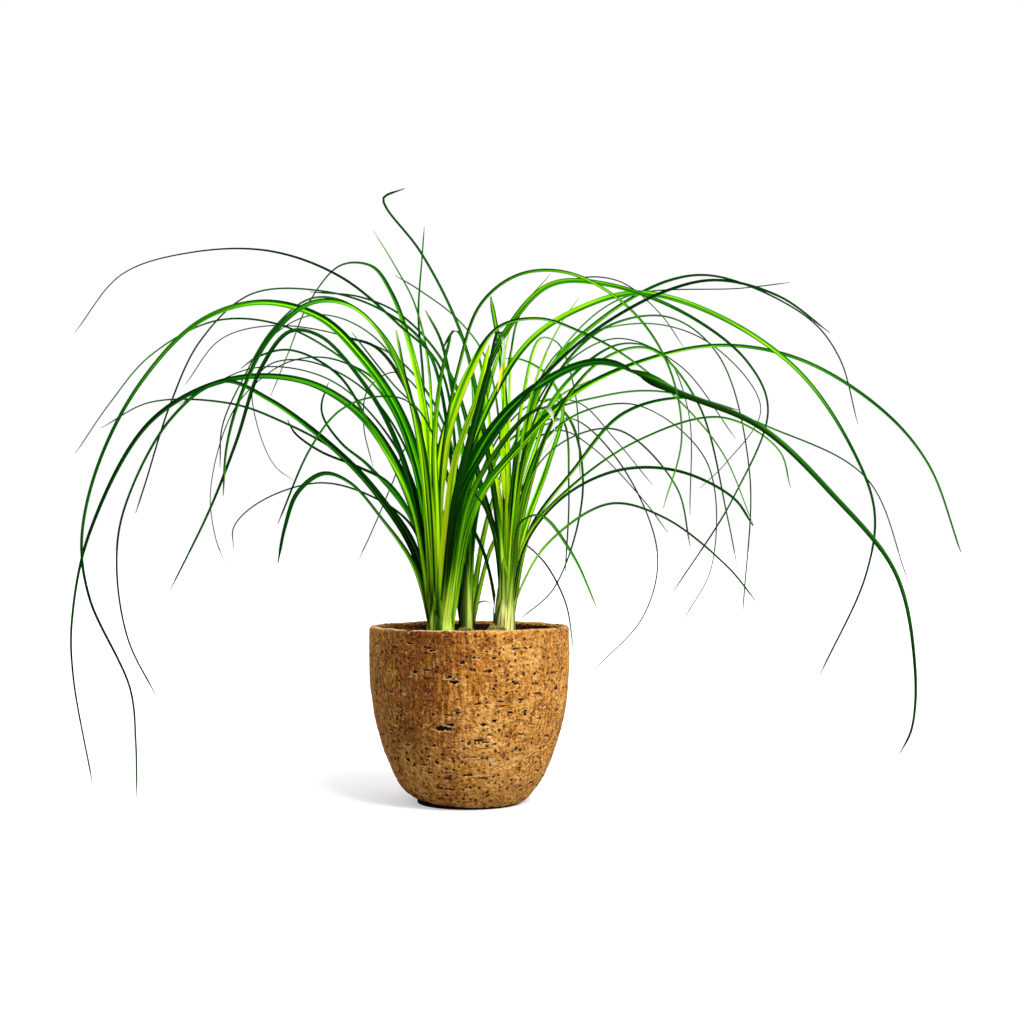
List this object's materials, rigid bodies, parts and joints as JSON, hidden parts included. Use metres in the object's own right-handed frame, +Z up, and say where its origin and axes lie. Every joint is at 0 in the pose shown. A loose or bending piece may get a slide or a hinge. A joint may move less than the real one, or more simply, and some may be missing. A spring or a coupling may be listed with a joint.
{
  "type": "potted ponytail palm",
  "caption": "House plant of young ponytail palms with long thin arching leaves, standing in a rounded clay pot filled with soil.",
  "frame": {"origin": "centre of the pot's flat foot, on the surface it stands on", "axes": "+Z up along the pot's axis, -Y towards the front of the plant, +X to its right"},
  "size_m": [0.7836, 0.5273, 0.5407],
  "materials": {
    "clay": "unglazed ochre clay with cork-like pits and short cracks",
    "earth": "dark crumbly potting soil",
    "bark": "papery brown-green old leaf bases",
    "leaf": "smooth green leaf, lime at the foot and dark at the tip, with a slight gloss"
  },
  "bodies": {
    "root": {"pot": "clay", "soil": "earth", "left_bulb": "bark", "middle_bulb": "bark", "right_bulb": "bark", "left_leaves": "leaf", "middle_leaves": "leaf", "right_leaves": "leaf"}
  },
  "joints": []
}
